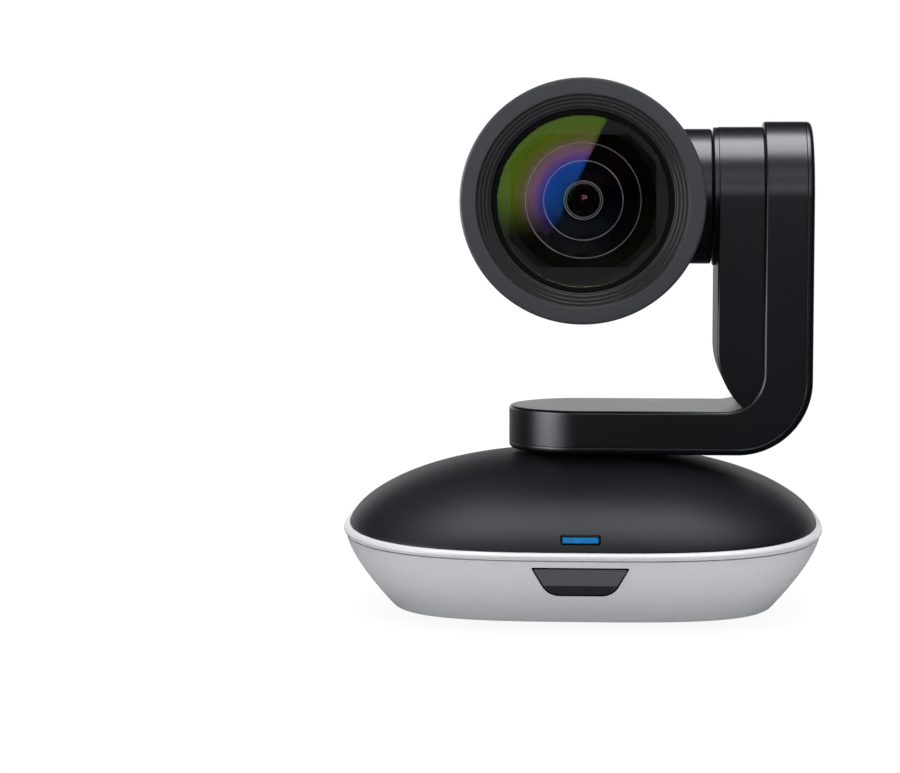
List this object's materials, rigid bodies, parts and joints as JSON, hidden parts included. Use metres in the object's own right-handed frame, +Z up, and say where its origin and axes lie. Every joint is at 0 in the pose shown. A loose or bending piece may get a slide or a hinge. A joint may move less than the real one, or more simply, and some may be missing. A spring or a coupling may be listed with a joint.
{
  "type": "ptz camera",
  "caption": "Motorised pan-tilt-zoom conference camera: a round lens head tilts on an L-shaped arm that swivels on a low domed base with a silver lower shell.",
  "frame": {"origin": "where the pan axis meets the surface that the camera stands on, which is the centre of the base's underside", "axes": "+Z up, -Y is the way the lens looks at rest, +X towards the arm's upright"},
  "size_m": [0.1444, 0.13, 0.1597],
  "materials": {
    "silver_plastic": "fine metallic silver paint, satin",
    "black_plastic": "satin, very fine grain",
    "dark_plastic": "matte",
    "ring_plastic": "satin charcoal",
    "matte_black": "flat black",
    "rubber": "matte",
    "cable_jacket": "matte",
    "steel": "brushed",
    "brass": "turned",
    "circuit_board": "solder mask",
    "nylon": "moulded",
    "led_lens": "lit blue",
    "infrared_window": "smoked, glossy",
    "front_window": "coated, clear",
    "coated_lens": "coated",
    "magnet": "nickel",
    "silicon": "glossy"
  },
  "bodies": {
    "base": {"base_lower_shell": "silver_plastic", "rim_trim": "silver_plastic", "base_top_cover": "black_plastic", "bottom_plate": "dark_plastic", "rubber_feet": "rubber", "base_screws": "steel", "tripod_insert": "brass", "ballast_plate": "steel", "lower_standoffs": "brass", "main_board": "circuit_board", "chassis_posts": "brass", "pan_chassis": "steel", "chassis_screws": "steel", "pan_bush": "brass", "thrust_washer": "nylon", "pan_motor": "steel", "led_bezel": "black_plastic", "led_light_pipe": "led_lens", "led_board": "circuit_board", "ir_window": "infrared_window", "ir_receiver": "dark_plastic", "port_tray": "dark_plastic", "power_jack": "dark_plastic", "usb_port": "steel"},
    "pan_pinion": {"pan_pinion": "brass"},
    "arm": {"arm_shell": "black_plastic", "arm_cover": "black_plastic", "arm_inner_cover": "black_plastic", "pan_spindle": "steel", "pan_gear": "nylon", "spindle_clip": "steel", "spindle_screws": "steel", "tilt_bush": "brass", "tilt_motor": "steel", "arm_harness": "cable_jacket"},
    "tilt_pinion": {"tilt_pinion": "brass"},
    "head": {"front_ring": "ring_plastic", "front_glass": "front_window", "glass_gasket": "matte_black", "lens_mask": "matte_black", "front_lens": "coated_lens", "lens_retainer": "dark_plastic", "lens_barrel": "dark_plastic", "barrel_baffle": "matte_black", "iris_cell": "dark_plastic", "guide_rods": "steel", "focus_magnets": "magnet", "sensor_board": "circuit_board", "image_sensor": "silicon", "head_front_shell": "black_plastic", "head_rear_shell": "black_plastic", "head_screws": "steel", "head_frame": "steel", "tilt_hub": "black_plastic", "tilt_shaft": "steel", "hub_screws": "steel", "tilt_gear": "nylon", "shaft_clip": "steel"},
    "zoom_group": {"zoom_group": "dark_plastic"},
    "focus_group": {"focus_group": "dark_plastic"}
  },
  "joints": [
    {"name": "pan", "type": "hinge", "parent": "base", "child": "arm", "pos_m": [0, 0, 0.04], "axis": [0, 0, 1], "range_deg": [-130, 130]},
    {"name": "tilt", "type": "hinge", "parent": "arm", "child": "head", "pos_m": [0.045, 0, 0.1245], "axis": [-1, 0, 0], "range_deg": [-40, 90]},
    {"name": "pan_pinion_spin", "type": "hinge", "parent": "base", "child": "pan_pinion", "pos_m": [-0.0294, 0, 0.038], "axis": [0, 0, 1], "range_deg": [-790, 790]},
    {"name": "tilt_pinion_spin", "type": "hinge", "parent": "arm", "child": "tilt_pinion", "pos_m": [0.058, 0, 0.1014], "axis": [-1, 0, 0], "range_deg": [-420, 420]},
    {"name": "zoom_slide", "type": "slide", "parent": "head", "child": "zoom_group", "axis": [0, 1, 0], "range_m": [0, 0.012]},
    {"name": "focus_slide", "type": "slide", "parent": "head", "child": "focus_group", "axis": [0, 1, 0], "range_m": [-0.0025, 0.003]}
  ],
  "couplings": [
    {"joint": "pan_pinion_spin", "follows": "pan", "ratio": -6},
    {"joint": "tilt_pinion_spin", "follows": "tilt", "ratio": -4.5}
  ]
}
